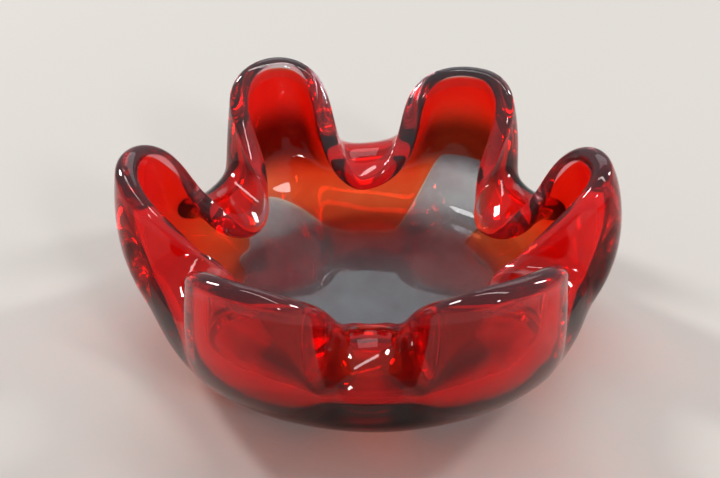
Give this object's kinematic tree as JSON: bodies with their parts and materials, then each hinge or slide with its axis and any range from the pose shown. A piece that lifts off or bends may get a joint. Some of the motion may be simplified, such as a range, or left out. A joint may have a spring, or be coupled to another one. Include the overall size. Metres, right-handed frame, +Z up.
{
  "type": "art glass bowl",
  "caption": "Heavy cased glass bowl: ruby wall over a smoke-grey floor, its rim pulled up into rounded lobes with folds pinched in between.",
  "frame": {"origin": "on the table under the middle of the bowl's outline", "axes": "+Z up, +X across the bowl from one side lobe to the other, -Y towards the viewer"},
  "size_m": [0.2194, 0.2078, 0.0909],
  "materials": {
    "casing_glass": "fire-polished clear glass, red from the ruby behind it",
    "lining_glass": "fire-polished clear glass",
    "smoke_glass": "smoke-grey transparent glass",
    "ruby_glass": "ruby transparent glass, orange where it is thin",
    "lip_glass": "fire-polished smoky glass"
  },
  "bodies": {
    "root": {"clear_casing": "casing_glass", "clear_lining": "lining_glass", "smoke_gather": "smoke_glass", "ruby_band": "ruby_glass", "rim_lip": "lip_glass"}
  },
  "joints": []
}
